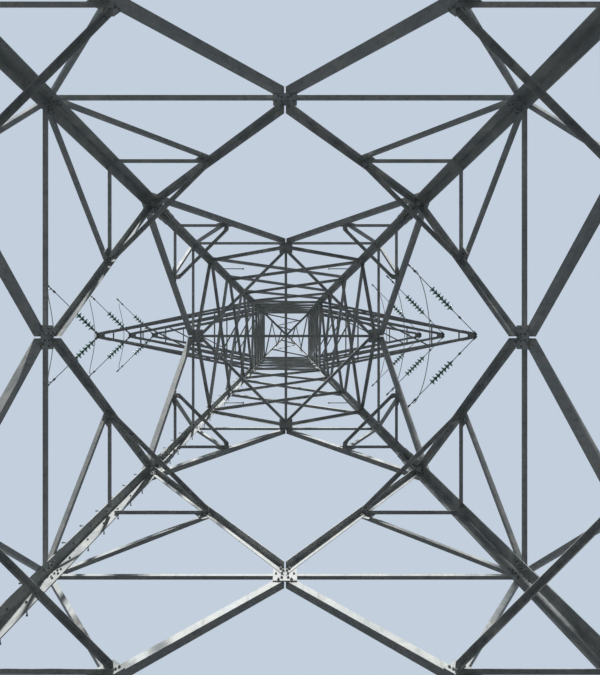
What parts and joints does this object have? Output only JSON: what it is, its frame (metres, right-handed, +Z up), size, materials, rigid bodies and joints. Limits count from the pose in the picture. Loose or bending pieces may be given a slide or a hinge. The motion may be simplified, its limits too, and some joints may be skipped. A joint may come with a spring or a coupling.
{
  "type": "lattice transmission pylon",
  "caption": "Square-based lattice steel angle tower with a slim cage, paired crossarms, strings of glass discs at the tips and a pointed peak.",
  "frame": {"origin": "on the ground at the tower's axis, in the plane of the undersides of the four base plates", "axes": "+Z up the tower, X along the crossarms with the strings of both sides leading off towards -X, front is -Y"},
  "size_m": [14.7973, 8.72, 39],
  "materials": {
    "leg_steel": "weathered galvanised, matt grey",
    "brace_steel": "weathered galvanised, matt grey",
    "arm_steel": "weathered galvanised, matt grey",
    "fitting_steel": "forged and galvanised, dull",
    "insulator_glass": "green toughened glass",
    "jumper_aluminium": "stranded cable, dulled"
  },
  "bodies": {
    "root": {"leg_front_left": "leg_steel", "leg_front_right": "leg_steel", "leg_rear_right": "leg_steel", "leg_rear_left": "leg_steel", "cage_posts": "leg_steel", "lower_bracing_front": "brace_steel", "middle_bracing_front": "brace_steel", "upper_bracing_front": "brace_steel", "cage_bracing_front": "brace_steel", "lower_bracing_right": "brace_steel", "middle_bracing_right": "brace_steel", "upper_bracing_right": "brace_steel", "cage_bracing_right": "brace_steel", "lower_bracing_rear": "brace_steel", "middle_bracing_rear": "brace_steel", "upper_bracing_rear": "brace_steel", "cage_bracing_rear": "brace_steel", "lower_bracing_left": "brace_steel", "middle_bracing_left": "brace_steel", "upper_bracing_left": "brace_steel", "cage_bracing_left": "brace_steel", "portal_belt": "brace_steel", "lower_belt": "brace_steel", "upper_belt": "brace_steel", "corner_braces": "brace_steel", "diaphragm": "brace_steel", "crossarm_low_left": "arm_steel", "crossarm_low_right": "arm_steel", "crossarm_middle_left": "arm_steel", "crossarm_middle_right": "arm_steel", "crossarm_top_left": "arm_steel", "crossarm_top_right": "arm_steel", "peak": "arm_steel", "insulators_low": "insulator_glass", "line_fittings_low": "fitting_steel", "jumper_low_left": "jumper_aluminium", "jumper_low_right": "jumper_aluminium", "insulators_middle": "insulator_glass", "line_fittings_middle": "fitting_steel", "jumper_middle_left": "jumper_aluminium", "jumper_middle_right": "jumper_aluminium", "insulators_top": "insulator_glass", "line_fittings_top": "fitting_steel", "jumper_top_left": "jumper_aluminium", "jumper_top_right": "jumper_aluminium", "climbing_pegs": "leg_steel"}
  },
  "joints": []
}
